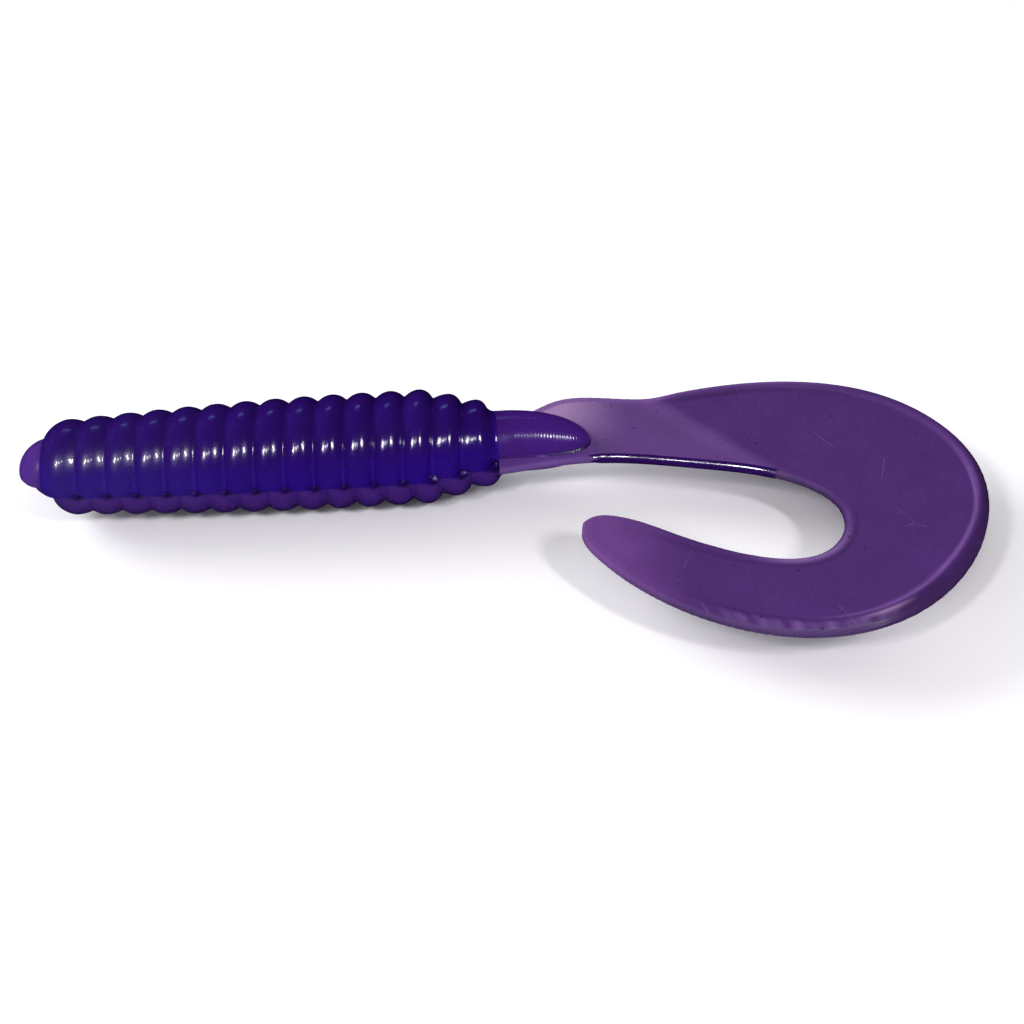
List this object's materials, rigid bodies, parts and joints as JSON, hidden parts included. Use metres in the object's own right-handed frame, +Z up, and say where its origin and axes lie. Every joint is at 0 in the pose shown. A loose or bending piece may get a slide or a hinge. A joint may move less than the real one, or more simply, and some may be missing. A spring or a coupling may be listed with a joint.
{
  "type": "soft plastic worm",
  "caption": "Soft plastic fishing worm with a ringed cigar-shaped body, a tapered stalk and a flat blade tail that curls back beside itself.",
  "frame": {"origin": "tip of the nose, on the body's axis, where a hook's point goes in", "axes": "+X along the body from the nose to the tail; the blade lies flat in the XY plane, which is the mould's parting plane, and curls back towards -Y; +Z up"},
  "size_m": [0.1025, 0.0397, 0.0124],
  "materials": {
    "body": "gloss",
    "stalk": "gloss",
    "web": "gloss",
    "keel": "gloss",
    "blade": "gloss"
  },
  "bodies": {
    "front": {"nose": "body", "ring_01": "body", "ring_02": "body", "ring_03": "body", "flex_web_1": "body"},
    "fore": {"ring_04": "body", "ring_05": "body", "ring_06": "body", "flex_web_2": "body"},
    "middle": {"ring_07": "body", "ring_08": "body", "ring_09": "body", "flex_web_3": "body"},
    "aft": {"ring_10": "body", "ring_11": "body", "ring_12": "body", "flex_web_4": "body"},
    "rear": {"ring_13": "body", "ring_14": "body", "ring_15": "body", "neck_web": "body"},
    "stalk": {"tail_stalk": "stalk", "stalk_web": "web"},
    "tail_root": {"root_web": "web", "keel": "keel"},
    "upper_arm": {"blade_upper": "blade"},
    "bend": {"blade_bend": "blade"},
    "lower_arm": {"blade_lower": "blade"},
    "tip": {"blade_tip": "blade"}
  },
  "joints": [
    {"name": "front_bend", "type": "hinge", "parent": "front", "child": "fore", "pos_m": [0.01307, 0, 0], "axis": [0, 0, 1], "range_deg": [-12, 12], "stiffness_Nm_per_rad": 0.01, "deforming": ["flex_web_1"]},
    {"name": "fore_lift", "type": "hinge", "parent": "fore", "child": "middle", "pos_m": [0.02246, 0, 0], "axis": [0, 1, 0], "range_deg": [-12, 12], "stiffness_Nm_per_rad": 0.01, "deforming": ["flex_web_2"]},
    {"name": "middle_bend", "type": "hinge", "parent": "middle", "child": "aft", "pos_m": [0.03186, 0, 0], "axis": [0, 0, 1], "range_deg": [-12, 12], "stiffness_Nm_per_rad": 0.01, "deforming": ["flex_web_3"]},
    {"name": "aft_lift", "type": "hinge", "parent": "aft", "child": "rear", "pos_m": [0.04124, 0, 0], "axis": [0, 1, 0], "range_deg": [-12, 12], "stiffness_Nm_per_rad": 0.01, "deforming": ["flex_web_4"]},
    {"name": "stalk_bend", "type": "hinge", "parent": "rear", "child": "stalk", "pos_m": [0.05107, 0, 0], "axis": [0, 0, 1], "range_deg": [-20, 20], "stiffness_Nm_per_rad": 0.006, "deforming": ["neck_web"]},
    {"name": "tail_swing", "type": "hinge", "parent": "stalk", "child": "tail_root", "pos_m": [0.06317, 0, 0], "axis": [0, 1, 0], "range_deg": [-40, 40], "stiffness_Nm_per_rad": 0.006},
    {"name": "blade_fold", "type": "hinge", "parent": "tail_root", "child": "upper_arm", "pos_m": [0.07657, -0.0012, 0], "axis": [-0.4925, 0.8703, 0], "range_deg": [-35, 35], "stiffness_Nm_per_rad": 0.004},
    {"name": "upper_curl", "type": "hinge", "parent": "upper_arm", "child": "bend", "pos_m": [0.09415, -0.01191, 0], "axis": [0.9669, 0.255, 0], "range_deg": [-35, 35], "stiffness_Nm_per_rad": 0.003},
    {"name": "lower_curl", "type": "hinge", "parent": "bend", "child": "lower_arm", "pos_m": [0.08558, -0.02565, 0], "axis": [0.408, -0.913, 0], "range_deg": [-35, 35], "stiffness_Nm_per_rad": 0.002},
    {"name": "tip_curl", "type": "hinge", "parent": "lower_arm", "child": "tip", "pos_m": [0.06872, -0.02246, 0], "axis": [-0.3386, -0.9409, 0], "range_deg": [-35, 35], "stiffness_Nm_per_rad": 0.001}
  ]
}
